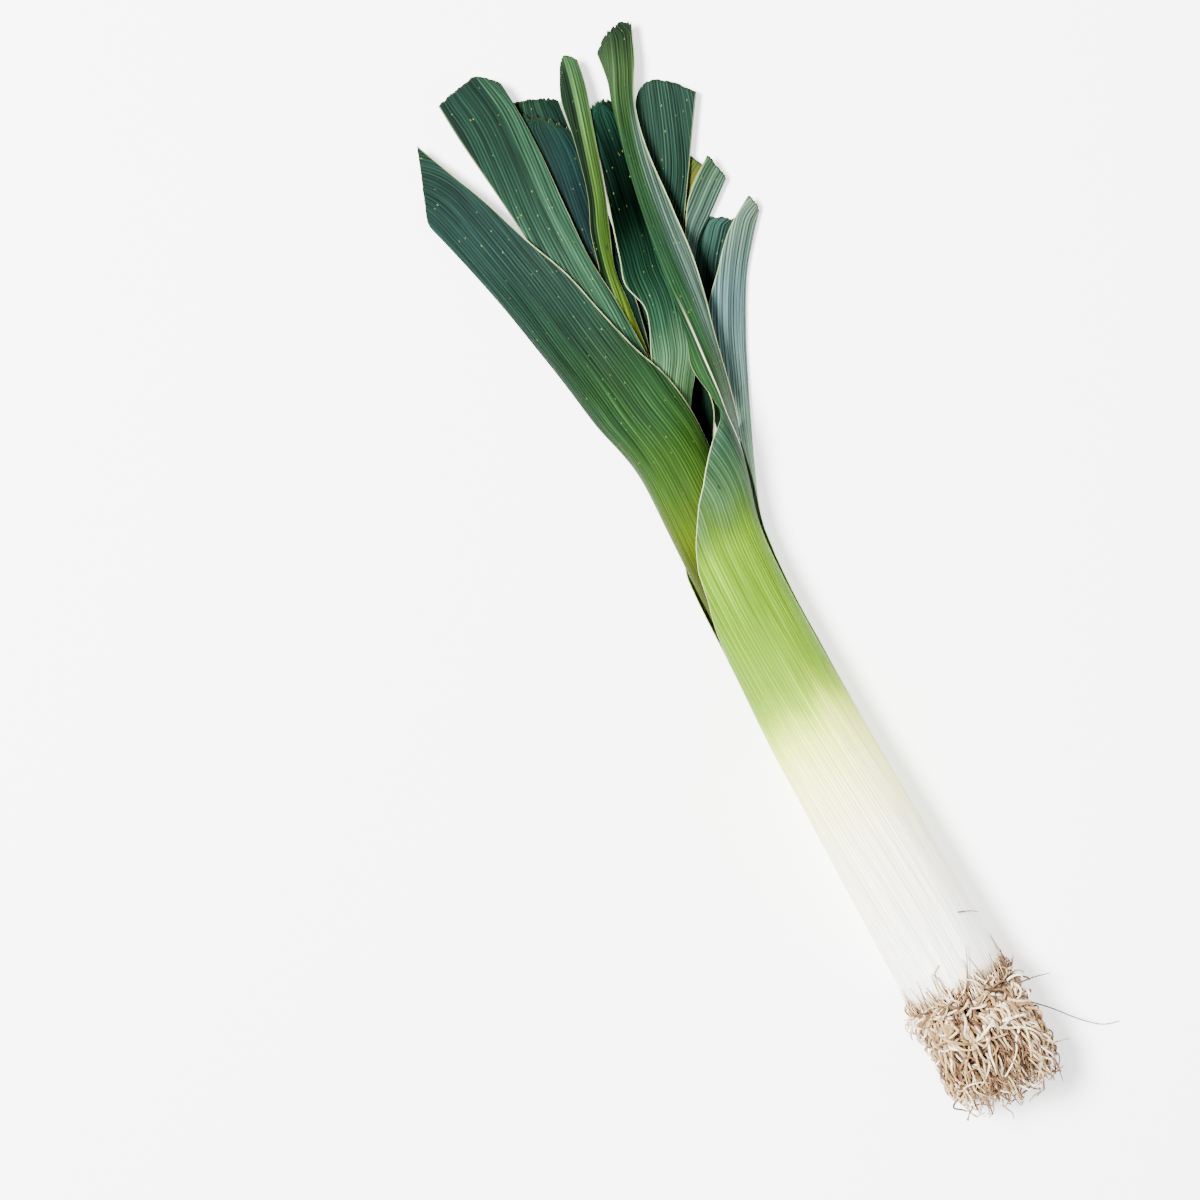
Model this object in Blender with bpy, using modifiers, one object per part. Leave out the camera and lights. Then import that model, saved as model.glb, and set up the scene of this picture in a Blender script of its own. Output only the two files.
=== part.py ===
"""A leek as picked, lying on a table.

The leaves are nested: each has a closed tubular sheath that runs up from the root plate, a mouth where
the tube opens, and a blade folded along its keel. The outermost leaf has lost most of its sheath.
The root plate closes the bottom, and a tuft of roots hangs from it.

X runs across the leek, Y along it from the roots to the leaf tips, Z up. The table is z = 0, and the
origin is the point under the shaft where it rests.
"""

import math
import random

import bpy
import bmesh
import numpy as np
from mathutils import Vector

# Driving dimensions, in metres
UNIT = 0.00042  # one unit of the section tables below
WALL = 0.0007  # thickness of every sheath and blade
ROOT_THICKNESS = 0.0011
REST_ALONG = 200  # units from the root plate to the point that the shaft rests on

# The shaft, in units: distance from the root plate, centre across, radius
SHAFT = (
    (0, 0.5, 52.5),
    (60, 0.5, 52.5),
    (140, -0.8, 51.0),
    (220, -2.2, 49.0),
    (300, -4.2, 47.3),
    (380, -3.0, 44.8),
    (440, -2.5, 44.0),
    (520, -1.0, 43.0),
    (640, 2.0, 41.0),
)

# How far the outer sheaths spread to the right where the leaves part, as a share of the radius
SPREAD = ((440, 0), (480, 0.035), (500, 0.08), (520, 0.17), (545, 0.36), (570, 0.56), (590, 0.72), (620, 0.9))
SHEATH_FOOT = 6  # where the sheaths stand on the root plate
NECK_RADIUS = 44.0
RING_PITCH = 3.4  # from one sheath to the next, at the neck
OUTER_SIDES = 24
MOUTH_STEP = 30  # between rows of faces where a sheath opens
BLADE_STEP = 42  # and along a blade

# Root plate and the core of the root tuft, in units: radius, distance along the shaft
PLATE_PROFILE = ((0, 4.5), (48, 4.5), (49, 1), (46, -3), (40, -10), (30, -16), (16, -19), (0, -20))
PLATE_SIDES = 24
TUFT_CORE = (
    (0, -21.2), (16.4, -20.2), (30.8, -17.1), (41.2, -10.8), (47.3, -3.6), (50.5, -2.8),
    (51.2, -12), (49, -30), (47, -58), (41, -80), (26, -93), (0, -98),
)

# The roots that stand out of the core, in units: ranges of the outward lean and of the length
SIDE_ROOTS = 46
SIDE_START = 46  # distance from the shaft's axis
SIDE_LEAN = (8, 14)
SIDE_LENGTH = (74, 100)
END_ROOTS = 28
END_START = 34  # the farthest of them from the axis
END_ALONG = -70
END_LEAN = (2, 9)
END_LENGTH = (34, 52)
GOLDEN_ANGLE = 2.39996  # radians, spreads the end roots evenly
ROOT_STEPS = 5
ROOT_SWAY = (3, 8)
ROOT_WAVES = 5.0  # radians of sideways wave in a root's length
ROOT_SEED = 7
TABLE_CLEARANCE = 1.6  # lowest height of a root's centre line

# Each leaf: which nested ring its sheath is in (0 is outermost), the side its keel is on, in degrees
# from +X round to +Z, how many columns of faces it has, how sharp its fold is (2 is a parabola), and
# how far each half reaches round the shaft at distances above the root plate. The sections of its
# blade follow, each as the edge on the clockwise side, the keel and the other edge, then the bulge
# of the two halves. The sheath turns into the blade between the two distances of `turn`.
LEAVES = {
    "leaf_wrapping": {
        "ring": 0, "keel": -7.5, "columns": OUTER_SIDES, "fold": 2, "turn": (525, 610),
        "mouth": ((398, 180, 180), (430, 174, 168), (460, 170, 151), (490, 160, 143),
                  (515, 130, 127), (540, 100, 106), (565, 73, 84), (610, 46, 60)),
        "mouth_step": 17,
        "sections": (
            ((18, 540, 0.5), (55, 540, 54), (-4, 545, 89), 4),
            ((42, 562, 5), (60, 562, 62), (8, 562, 88), 6),
            ((71, 592, 20), (66, 595, 69), (40, 597, 83), 4),
            ((79, 615, 34), (68, 617, 73), (60, 616, 80), 0),
            ((85, 640, 43), (71, 640, 73), (63, 634, 67), 0),
            ((92, 672, 47), (74, 672, 72), (59, 672, 60), 0),
            ((99, 703, 48), (77, 703, 70), (69, 702, 54), 0),
            ((113, 760, 45), (82, 762, 64), (82, 760, 47), 0),
            ((121, 830, 38), (91, 830, 55), (97, 830, 39), 0),
            ((126, 890, 32), (103, 890, 47), (108, 890, 33), 0),
            ((139, 940, 27), (119, 942, 40), (115, 942, 28), 0),
            ((160, 978, 23), (136, 978, 34), (124, 970, 24), 0),
            ((174, 1012, 20), (152, 1016, 29), (128, 1000, 22), 0),
        ),
    },
    "leaf_left": {
        "ring": 1.25, "keel": 180, "columns": 18, "fold": 1.5, "turn": (568, 672),
        "mouth": ((430, 180, 180), (500, 174, 150), (600, 160, 105), (700, 140, 90)),
        "sections": (
            ((43, 573, 60), (-39, 570, 44), (8, 570, 4), 28),
            ((44, 603, 64), (-41, 600, 44), (6, 600, 3), 28),
            ((41, 635, 68), (-46, 635, 40), (0, 635, 2), 24),
            ((33, 680, 67), (-53, 680, 34), (-6, 690, 1), 18),
            ((20, 715, 63), (-59, 720, 28), (-10, 735, 0.5), 14),
            ((8, 760, 58), (-67, 765, 22), (-18, 780, 0), 11),
            ((-5, 815, 52), (-76, 815, 17), (-28, 830, 0), 8),
            ((-24, 865, 45), (-86, 860, 13), (-42, 878, 0), 6),
            ((-42, 920, 37), (-97, 903, 10), (-56, 925, 0.5), 4),
            ((-58, 960, 29), (-103, 925, 9), (-66, 950, 1), 3),
            ((-76, 1005, 20), (-103, 934, 8), (-80, 985, 3), 2),
        ),
    },
    "leaf_right_low": {
        "ring": -1, "keel": -38, "columns": 12, "fold": 1.5, "turn": (470, 560),
        "mouth": ((6, 13, 13), (200, 16, 16), (440, 27, 27), (560, 30, 30)),
        "sections": (
            ((36, 500, 6), (52, 495, 16), (52, 500, 34), 0),
            ((46, 560, 3), (67, 548, 18), (64.5, 560, 33), 2),
            ((56, 610, 0.5), (83, 585, 8), (74, 606, 24), 2),
            ((66, 670, 0), (108, 640, 3), (84, 660, 27), 3),
            ((84, 730, 0), (130, 685, 3), (99, 712, 26), 3),
            ((106, 772, 0), (156, 732, 3), (133, 751, 25), 2),
            ((133, 796, 3.5), (180, 763, 4), (161, 780, 22), 2),
            ((152, 803, 5), (196, 782, 5), (197, 803, 17), 1),
        ),
    },
    "leaf_right_curled": {
        "ring": 2.1, "keel": -45, "columns": 16, "fold": 1.5, "turn": (560, 650),
        "mouth": ((420, 180, 180), (600, 90, 40), (700, 70, 40)),
        "sections": (
            ((-20, 562, 14), (24, 560, 10), (42, 558, 42), 0),
            ((-8, 605, 12), (28, 598, 9), (56, 594, 33), 0),
            ((4, 655, 10), (46, 632, 8), (64, 628, 30), 0),
            ((25, 710, 9), (64, 682, 8), (68, 690, 26), 0),
            ((58, 770, 8), (95, 735, 8), (92, 750, 24), 0),
            ((92, 815, 7), (124, 781, 8), (120, 797, 22), 0),
            ((126, 850, 7), (153, 804, 8), (142, 829, 22), 0),
            ((160, 874, 8), (184, 828, 9), (179, 858, 19), 0),
        ),
    },
    "leaf_centre_right": {
        "ring": 3, "keel": 60, "columns": 14, "fold": 2, "turn": (600, 700),
        "mouth": ((420, 180, 180), (600, 50, 90), (700, 50, 75)),
        "sections": (
            ((40, 602, 46), (22, 602, 68), (-14, 602, 64), 0),
            ((52, 630, 42), (28, 632, 63), (-3, 630, 64), 0),
            ((66, 660, 41), (40, 664, 58), (12, 664, 59), 0),
            ((80, 695, 38), (56, 700, 53), (28, 700, 51), 0),
            ((91, 740, 34), (70, 745, 47), (47, 745, 44), 0),
            ((97, 775, 31), (74, 780, 43), (41, 778, 42), 0),
            ((103, 800, 29), (80, 805, 39), (49, 806, 37), 0),
            ((109, 845, 26), (89, 850, 35), (63, 852, 31), 0),
            ((115, 895, 22), (99, 900, 30), (79, 902, 26), 0),
            ((118, 955, 18), (107, 958, 25), (93, 956, 22), 0),
        ),
    },
    "leaf_right_broad": {
        "ring": 4, "keel": -60, "columns": 14, "fold": 2, "turn": (600, 700),
        "mouth": ((460, 180, 180), (640, 75, 60), (700, 70, 55)),
        "sections": (
            ((-10, 606, 26), (14, 602, 14), (32, 598, 28), 0),
            ((0, 640, 23), (18, 636, 16), (36, 630, 24), 0),
            ((18, 700, 21), (38, 688, 15), (56, 676, 21), 0),
            ((44, 766, 20), (65, 752, 15), (83, 738, 19), 0),
            ((66, 833, 20), (92, 815, 14), (118, 797, 16), 0),
            ((104, 891, 17), (131, 873, 12), (156, 855, 14), 0),
            ((135, 931, 14), (163, 952, 11), (199, 919, 12), 0),
        ),
    },
    "leaf_centre_tall": {
        "ring": 5, "keel": 90, "columns": 14, "fold": 1.3, "turn": (600, 700),
        "mouth": ((470, 180, 180), (640, 80, 80), (700, 75, 75)),
        "sections": (
            ((25, 602, 45), (1, 602, 62), (-23, 602, 45), 0),
            ((24, 650, 43), (2, 650, 52), (-24, 650, 43), 0),
            ((27, 700, 44), (4, 700, 52), (-18, 700, 44), 0),
            ((27, 760, 43), (5, 760, 50), (-17, 760, 41), 0),
            ((23, 820, 41), (3, 820, 46), (-19, 820, 38), 0),
            ((26, 880, 37), (4, 880, 42), (-25, 880, 33), 0),
            ((30, 940, 32), (10, 940, 38), (-31, 940, 28), 0),
            ((30, 990, 28), (13, 990, 34), (-36, 990, 24), 0),
            ((28, 1020, 24), (7, 1037, 31), (-38, 1030, 20), 0),
        ),
    },
    "leaf_centre_young": {
        "ring": 6, "keel": 60, "columns": 12, "fold": 1.6, "turn": (600, 700),
        "mouth": ((480, 180, 180), (640, 80, 80), (700, 75, 75)),
        "sections": (
            ((22, 602, 42), (8, 602, 55), (-14, 602, 47), 0),
            ((24, 650, 38), (7, 650, 48), (-12, 650, 41), 0),
            ((29, 700, 36), (14, 700, 45), (-2, 700, 40), 0),
            ((36, 758, 33), (26, 762, 40), (12, 764, 36), 0),
            ((41, 800, 34), (33, 803, 41), (26, 806, 34), 0),
            ((54, 835, 34), (43, 838, 41), (36, 842, 34), 0),
            ((68, 870, 34), (57, 872, 41), (51, 876, 33), 0),
            ((86, 925, 30), (74, 927, 38), (65, 930, 31), 0),
            ((102, 975, 26), (89, 979, 34), (73, 973, 27), 0),
            ((108, 1004, 22), (97, 1013, 30), (86, 1002, 25), 0),
        ),
    },
    "leaf_centre_blue": {
        "ring": 7, "keel": 90, "columns": 12, "fold": 2, "turn": (600, 700),
        "mouth": ((490, 180, 180), (640, 80, 80), (700, 75, 75)),
        "sections": (
            ((16, 602, 38), (2, 602, 48), (-13, 602, 39), 0),
            ((18, 635, 33), (3, 635, 42), (-14, 635, 35), 0),
            ((22, 670, 31), (4, 670, 38), (-14, 670, 33), 0),
            ((38, 730, 29), (14, 730, 35), (-8, 730, 31), 0),
            ((52, 800, 26), (24, 800, 31), (0, 800, 28), 0),
            ((64, 870, 24), (34, 870, 29), (8, 870, 26), 0),
            ((70, 920, 22), (42, 920, 27), (16, 920, 24), 0),
            ((70, 945, 20), (45, 975, 24), (20, 985, 21), 0),
        ),
    },
    "leaf_centre_back": {
        "ring": 8, "keel": 90, "columns": 12, "fold": 2, "turn": (600, 700),
        "mouth": ((500, 180, 180), (640, 80, 80), (700, 75, 75)),
        "sections": (
            ((13, 602, 34), (2, 602, 41), (-10, 602, 34), 0),
            ((18, 645, 29), (4, 645, 35), (-9, 645, 30), 0),
            ((24, 690, 28), (9, 690, 33), (-8, 690, 29), 0),
            ((36, 750, 24), (18, 750, 28), (0, 750, 25), 0),
            ((50, 820, 20), (30, 820, 24), (10, 820, 21), 0),
            ((62, 900, 17), (42, 900, 21), (20, 900, 18), 0),
            ((72, 980, 13), (54, 990, 17), (30, 998, 14), 0),
        ),
    },
}
HEART_RING = 9
HEART_SIDES = 12
HEART_TOP = ((440, 1.0), (500, 0.8), (560, 0.45), (600, 0.12))

# Colour, roughness
MATERIALS = {
    "leaf_wrapping": ((0.38, 0.52, 0.20), 0.42),
    "leaf_left": ((0.07, 0.17, 0.10), 0.45),
    "leaf_right_low": ((0.24, 0.36, 0.30), 0.6),
    "leaf_right_curled": ((0.22, 0.33, 0.27), 0.6),
    "leaf_centre_right": ((0.04, 0.12, 0.09), 0.5),
    "leaf_right_broad": ((0.06, 0.15, 0.12), 0.5),
    "leaf_centre_tall": ((0.06, 0.16, 0.10), 0.45),
    "leaf_centre_young": ((0.18, 0.34, 0.08), 0.42),
    "leaf_centre_blue": ((0.05, 0.14, 0.12), 0.5),
    "leaf_centre_back": ((0.05, 0.13, 0.11), 0.5),
    "leaf_heart": ((0.75, 0.78, 0.45), 0.45),
    "root_plate": ((0.55, 0.42, 0.28), 0.8),
    "roots": ((0.80, 0.68, 0.50), 0.75),
}


def clear_scene():
    for obj in list(bpy.data.objects):
        bpy.data.objects.remove(obj, do_unlink=True)


def collection_named(name, hidden=False):
    made = bpy.data.collections.new(name)
    bpy.context.scene.collection.children.link(made)
    made.hide_render = hidden
    return made


def material_for(name):
    colour, roughness = MATERIALS[name]
    made = bpy.data.materials.new(name)
    made.use_nodes = True
    shader = made.node_tree.nodes["Principled BSDF"]
    shader.inputs["Base Color"].default_value = (*colour, 1.0)
    shader.inputs["Roughness"].default_value = roughness
    shader.inputs["Metallic"].default_value = 0.0
    return made


def metres(point):
    """A point of the section tables, in metres from the origin."""
    across, along, up = point
    return Vector((across * UNIT, (along - REST_ALONG) * UNIT, up * UNIT))


def between(table, at):
    """Straight interpolation in a table whose first column is the distance along."""
    rows = np.array(table, float)
    return [float(np.interp(at, rows[:, 0], rows[:, i])) for i in range(1, rows.shape[1])]


def shaft_at(along):
    """Centre across, centre height and radius. The underside facet lies on the table."""
    across, radius = between(SHAFT, along)
    return across, radius * math.cos(math.pi / OUTER_SIDES), radius


def ring_radius(ring, radius):
    return radius * (1 - ring * RING_PITCH / NECK_RADIUS)


def smooth_step(share):
    share = min(max(share, 0.0), 1.0)
    return share * share * (3 - 2 * share)


def curve_through(points, share):
    """A smooth curve through the points, read at a share of its length from 0 to 1."""
    last = len(points) - 1
    place = min(max(share, 0.0), 1.0) * last
    i = min(int(place), last - 1)
    f = place - i
    p0, p1, p2, p3 = (points[min(max(j, 0), last)] for j in (i - 1, i, i + 1, i + 2))
    return 0.5 * (
        2 * p1 + (p2 - p0) * f + (2 * p0 - 5 * p1 + 4 * p2 - p3) * f ** 2 + (3 * p1 - p0 - 3 * p2 + p3) * f ** 3
    )


def sheath_point(leaf, along, t):
    """A point on the leaf's tube, or on what is left of it above its mouth. t runs from edge to edge."""
    across, height, radius = shaft_at(along)
    reach = between(leaf["mouth"], along)[0 if t < 0 else 1]
    angle = math.radians(leaf["keel"] + t * reach)
    own = ring_radius(leaf["ring"], radius)
    sideways = own * math.cos(angle)
    if leaf["ring"] <= 0 and sideways > 0:
        sideways *= 1 + between(SPREAD, along)[0]
    return np.array((across + sideways, along, height + own * math.sin(angle)))


def blade_point(leaf, share, t):
    """A point on the blade: a curve from edge to edge over the keel."""
    sections = leaf["sections"]
    table = [np.array([*low, *keel, *high, bulge], float) for low, keel, high, bulge in sections]
    row = curve_through(table, share)
    low, keel, high, bulge = row[0:3], row[3:6], row[6:9], row[9]
    point = keel + t * (high - low) / 2 + abs(t) ** leaf["fold"] * ((high + low) / 2 - keel)
    side = 1 if (high[2] - low[2]) * t > 0 else -1
    point[2] += side * bulge * 4 * abs(t) * (1 - abs(t)) * (1 if side > 0 else 0.25)
    return point


def leaf_rows(leaf):
    """Where the rows of the leaf lie: (distance along, None) in the sheath, (distance, share) in the blade."""
    start, _ = leaf["turn"]
    throat = leaf["mouth"][0][0] if leaf["ring"] >= 0 else 380
    straight = [SHEATH_FOOT] + [along for along, _, _ in SHAFT if 0 < along < throat - 20]
    opening = list(np.arange(throat, start, leaf.get("mouth_step", MOUTH_STEP)))
    blade = len(leaf["sections"]) - 1
    keels = [np.array(section[1], float) for section in leaf["sections"]]
    length = sum(np.linalg.norm(b - a) for a, b in zip(keels, keels[1:]))
    count = max(blade, round(length / BLADE_STEP))
    rows = [(along, None) for along in straight + opening]
    return rows + [(None, i / count) for i in range(count + 1)]


def leaf_point(leaf, row, t):
    """A point of the leaf, nowhere below the table. The sheath passes smoothly into the blade."""
    along, share = row
    if share is None:
        point = sheath_point(leaf, along, t)
    else:
        keel = blade_point(leaf, share, 0.0)
        start, end = leaf["turn"]
        weight = smooth_step((keel[1] - start) / (end - start))
        point = (1 - weight) * sheath_point(leaf, keel[1], t) + weight * blade_point(leaf, share, t)
    point[2] = max(point[2], 0)
    return point


def leaf_object(name, leaf, parts):
    rows = leaf_rows(leaf)
    columns = leaf["columns"]
    grid = bmesh.new()
    bmesh.ops.create_grid(grid, x_segments=columns, y_segments=len(rows) - 1, size=1)
    for vert in grid.verts:
        row = rows[round((vert.co.y + 1) / 2 * (len(rows) - 1))]
        vert.co = metres(leaf_point(leaf, row, vert.co.x))
    bmesh.ops.remove_doubles(grid, verts=grid.verts, dist=1e-6)
    bmesh.ops.triangulate(grid, faces=grid.faces)
    mesh = bpy.data.meshes.new(name)
    grid.to_mesh(mesh)
    grid.free()
    mesh.shade_smooth()
    obj = bpy.data.objects.new(name, mesh)
    parts.objects.link(obj)
    obj.data.materials.append(material_for(name))
    wall = obj.modifiers.new("wall", "SOLIDIFY")
    wall.thickness = WALL
    wall.offset = -1 if outward(mesh) else 1
    return obj


def outward(mesh):
    """Whether the first faces of a sheath look away from the shaft's centre."""
    face = mesh.polygons[0]
    across, height, _ = shaft_at(SHEATH_FOOT)
    centre = metres((across, SHEATH_FOOT, height))
    away = face.center - centre
    return face.normal.dot(Vector((away.x, 0, away.z))) > 0


def turned(name, profile, parts):
    """A solid turned about the shaft's axis, from a profile of (radius, distance along)."""
    mesh = bpy.data.meshes.new(name)
    verts = [(radius * UNIT, 0, along * UNIT) for radius, along in profile]
    mesh.from_pydata(verts, [(i, i + 1) for i in range(len(verts) - 1)], [])
    obj = bpy.data.objects.new(name, mesh)
    parts.objects.link(obj)
    screw = obj.modifiers.new("turn", "SCREW")
    screw.axis = "Z"
    screw.steps = PLATE_SIDES
    screw.render_steps = PLATE_SIDES
    screw.use_merge_vertices = True
    screw.merge_threshold = 0.00001
    across, height, _ = shaft_at(0)
    obj.rotation_euler = (-math.pi / 2, 0, 0)
    obj.location = metres((across, 0, height))
    return obj


def applied(obj):
    """The object with its modifiers and its place applied to its mesh."""
    bpy.context.view_layer.update()
    graph = bpy.context.evaluated_depsgraph_get()
    mesh = bpy.data.meshes.new_from_object(obj.evaluated_get(graph))
    mesh.transform(obj.matrix_world)
    tidy = bmesh.new()
    tidy.from_mesh(mesh)
    bmesh.ops.remove_doubles(tidy, verts=tidy.verts, dist=1e-6)
    bmesh.ops.recalc_face_normals(tidy, faces=tidy.faces)
    tidy.to_mesh(mesh)
    tidy.free()
    made = bpy.data.objects.new(obj.name + "_mesh", mesh)
    for holder in obj.users_collection:
        holder.objects.link(made)
    bpy.data.objects.remove(obj, do_unlink=True)
    return made


def root_plate(parts):
    obj = turned("root_plate", PLATE_PROFILE, parts)
    obj.data.materials.append(material_for("root_plate"))
    obj.data.shade_smooth()
    return obj


def heart(parts):
    """The youngest leaves, still rolled tight in the middle of the shaft."""
    straight = [(max(along, SHEATH_FOOT), 1.0) for along, _, _ in SHAFT if along < HEART_TOP[0][0]]
    profile = []
    for along, share in (*straight, *HEART_TOP):
        profile.append((along, ring_radius(HEART_RING, between(SHAFT, along)[1]) * share))
    rows = len(profile) - 1
    mesh = bmesh.new()
    bmesh.ops.create_cone(
        mesh, cap_ends=True, segments=HEART_SIDES, radius1=1, radius2=1, depth=2, calc_uvs=False
    )
    lengthwise = [edge for edge in mesh.edges if abs(edge.verts[0].co.z - edge.verts[1].co.z) > 1]
    bmesh.ops.subdivide_edges(mesh, edges=lengthwise, cuts=rows - 1)
    for vert in mesh.verts:
        along, radius = profile[round((vert.co.z + 1) / 2 * rows)]
        across, height, _ = shaft_at(along)
        angle = math.atan2(vert.co.y, vert.co.x)
        vert.co = metres((across + radius * math.cos(angle), along, height + radius * math.sin(angle)))
    bmesh.ops.triangulate(mesh, faces=mesh.faces)
    bmesh.ops.recalc_face_normals(mesh, faces=mesh.faces)
    data = bpy.data.meshes.new("leaf_heart")
    mesh.to_mesh(data)
    mesh.free()
    data.shade_smooth()
    obj = bpy.data.objects.new("leaf_heart", data)
    parts.objects.link(obj)
    data.materials.append(material_for("leaf_heart"))
    return obj


def root_path(start, lean, length, draw):
    """One root: down from the plate, leaning outward, with a slow wave. It lies on the table where it meets it."""
    across, height, _ = shaft_at(0)
    phase = draw.uniform(0, 2 * math.pi)
    sway = draw.uniform(*ROOT_SWAY)
    points = []
    for i in range(ROOT_STEPS + 1):
        f = i / ROOT_STEPS
        wave = sway * math.sin(phase + f * ROOT_WAVES) * f
        radial = start[0] + lean * math.sin(f * math.pi / 2)
        turn = start[1] + wave / max(radial, 8)
        x = across + radial * math.cos(turn)
        z = height + radial * math.sin(turn)
        points.append((x, start[2] - length * f, max(z, TABLE_CLEARANCE + draw.uniform(0, 0.3))))
    return points


def root_strand(name, points, holder):
    curve = bpy.data.curves.new(name, "CURVE")
    curve.dimensions = "3D"
    curve.bevel_depth = ROOT_THICKNESS / 2
    curve.bevel_resolution = 0
    curve.use_fill_caps = True
    spline = curve.splines.new("POLY")
    spline.points.add(len(points) - 1)
    for spot, point in zip(spline.points, points):
        spot.co = (*metres(point), 1.0)
    obj = bpy.data.objects.new(name, curve)
    holder.objects.link(obj)
    return applied(obj)


def roots(parts):
    """The tuft: a small dense core that the roots stand out of, down its sides and from its end."""
    draw = random.Random(ROOT_SEED)
    core = applied(turned("roots", TUFT_CORE, parts))
    strands = collection_named("strands", hidden=True)
    for i in range(SIDE_ROOTS):
        angle = 2 * math.pi * (i + draw.uniform(-0.3, 0.3)) / SIDE_ROOTS
        start = (SIDE_START, angle, -11 - draw.uniform(0, 6))
        path = root_path(start, draw.uniform(*SIDE_LEAN), draw.uniform(*SIDE_LENGTH), draw)
        root_strand(f"side_{i}", path, strands)
    for i in range(END_ROOTS):
        share = math.sqrt((i + 0.5) / END_ROOTS)
        start = (END_START * share, i * GOLDEN_ANGLE, END_ALONG)
        path = root_path(start, draw.uniform(*END_LEAN), draw.uniform(*END_LENGTH), draw)
        root_strand(f"end_{i}", path, strands)
    join = core.modifiers.new("join", "BOOLEAN")
    join.operation = "UNION"
    join.solver = "EXACT"
    join.operand_type = "COLLECTION"
    join.collection = strands
    tuft = applied(core)
    for strand in list(strands.objects):
        bpy.data.objects.remove(strand, do_unlink=True)
    tuft.name = "roots"
    tuft.data.materials.clear()
    tuft.data.materials.append(material_for("roots"))
    return tuft


def main():
    clear_scene()
    parts = collection_named("leek")
    for name, leaf in LEAVES.items():
        leaf_object(name, leaf, parts)
    heart(parts)
    root_plate(parts)
    roots(parts)


main()
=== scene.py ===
"""A leek lying on a pale table, seen from above.

Each leaf, the root plate and the tuft of roots of the frame get a finer piece of the same form. The section
tables are those of the frame's solids, in units of UNIT metres: X across, Y along the shaft, Z up.
"""

import random
from math import cos, pi, sin, sqrt

import bmesh
import bpy
import numpy as np
from mathutils import Matrix, Vector, noise


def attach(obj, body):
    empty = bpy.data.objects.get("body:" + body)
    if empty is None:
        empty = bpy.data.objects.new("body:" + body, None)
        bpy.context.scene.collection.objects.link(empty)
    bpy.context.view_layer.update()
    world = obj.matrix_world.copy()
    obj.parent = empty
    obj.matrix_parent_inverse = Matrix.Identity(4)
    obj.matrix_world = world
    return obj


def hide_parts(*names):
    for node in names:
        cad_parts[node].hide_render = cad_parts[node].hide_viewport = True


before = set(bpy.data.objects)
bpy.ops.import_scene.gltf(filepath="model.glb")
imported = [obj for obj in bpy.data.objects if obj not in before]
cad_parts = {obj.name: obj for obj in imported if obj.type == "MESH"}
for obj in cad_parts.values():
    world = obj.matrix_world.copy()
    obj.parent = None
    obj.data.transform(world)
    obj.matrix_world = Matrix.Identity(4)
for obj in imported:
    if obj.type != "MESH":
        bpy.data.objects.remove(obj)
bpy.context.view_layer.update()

UNIT = 0.00042  # metres in one unit of the tables
MM = UNIT * 1000  # millimetres in one unit
WALL = 0.0007  # thickness of a leaf in metres
MARGIN_WALL = 0.4  # thickness at a leaf's margin, as a share of WALL
REST_ALONG = 200  # the distance along the shaft that is at the frame's origin

# The shaft: (along, centre across, radius)
SHAFT = (
    (0, 0.5, 52.5), (60, 0.5, 52.5), (140, -0.8, 51.0), (220, -2.2, 49.0), (300, -4.2, 47.3),
    (380, -3.0, 44.8), (440, -2.5, 44.0), (520, -1.0, 43.0), (640, 2.0, 41.0),
)

# How far the outer sheaths spread to the right where the leaves part, as a share of the radius
SPREAD = (
    (440, 0), (480, 0.035), (500, 0.08), (520, 0.17), (545, 0.36), (570, 0.56), (590, 0.72), (620, 0.9),
)
SHEATH_FOOT = 6  # where the sheaths start on the root plate
NECK_RADIUS = 44.0
RING_PITCH = 3.4  # from one sheath to the next inside it, at the neck
OUTER_SIDES = 24  # the solid's outermost sheath has this many sides and lies on a flat one

# ring, keel, fold, turn, mouth and sections (low edge, keel, high edge, bulge) as in the frame's solids. Then
# how finely the leaf is divided, the waves of its margins (height, length), and how ragged its cut end is.
LEAVES = {}
INNER = dict(turn=(600, 700), columns=64, rows=5)
LEAVES["leaf_wrapping"] = dict(
    ring=0, keel=-7.5, fold=2, turn=(525, 610),
    mouth=((398, 180, 180), (430, 174, 168), (460, 170, 151), (490, 160, 143),
           (515, 130, 127), (540, 100, 106), (565, 73, 84), (610, 46, 60)),
    sections=(
        ((18, 540, 0.5), (55, 540, 54), (-4, 545, 89), 4),
        ((42, 562, 5), (60, 562, 62), (8, 562, 88), 6),
        ((71, 592, 20), (66, 595, 69), (40, 597, 83), 4),
        ((79, 615, 34), (68, 617, 73), (60, 616, 80)),
        ((85, 640, 43), (71, 640, 73), (63, 634, 67)),
        ((92, 672, 47), (74, 672, 72), (59, 672, 60)),
        ((99, 703, 48), (77, 703, 70), (69, 702, 54)),
        ((113, 760, 45), (82, 762, 64), (82, 760, 47)),
        ((121, 830, 38), (91, 830, 55), (97, 830, 39)),
        ((126, 890, 32), (103, 890, 47), (108, 890, 33)),
        ((139, 940, 27), (119, 942, 40), (115, 942, 28)),
        ((160, 978, 23), (136, 978, 34), (124, 970, 24)),
        ((174, 1012, 20), (152, 1016, 29), (128, 1000, 22)),
    ),
    columns=144, rows=5, wave=(0.5, 46), ragged=5,
)
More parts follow.
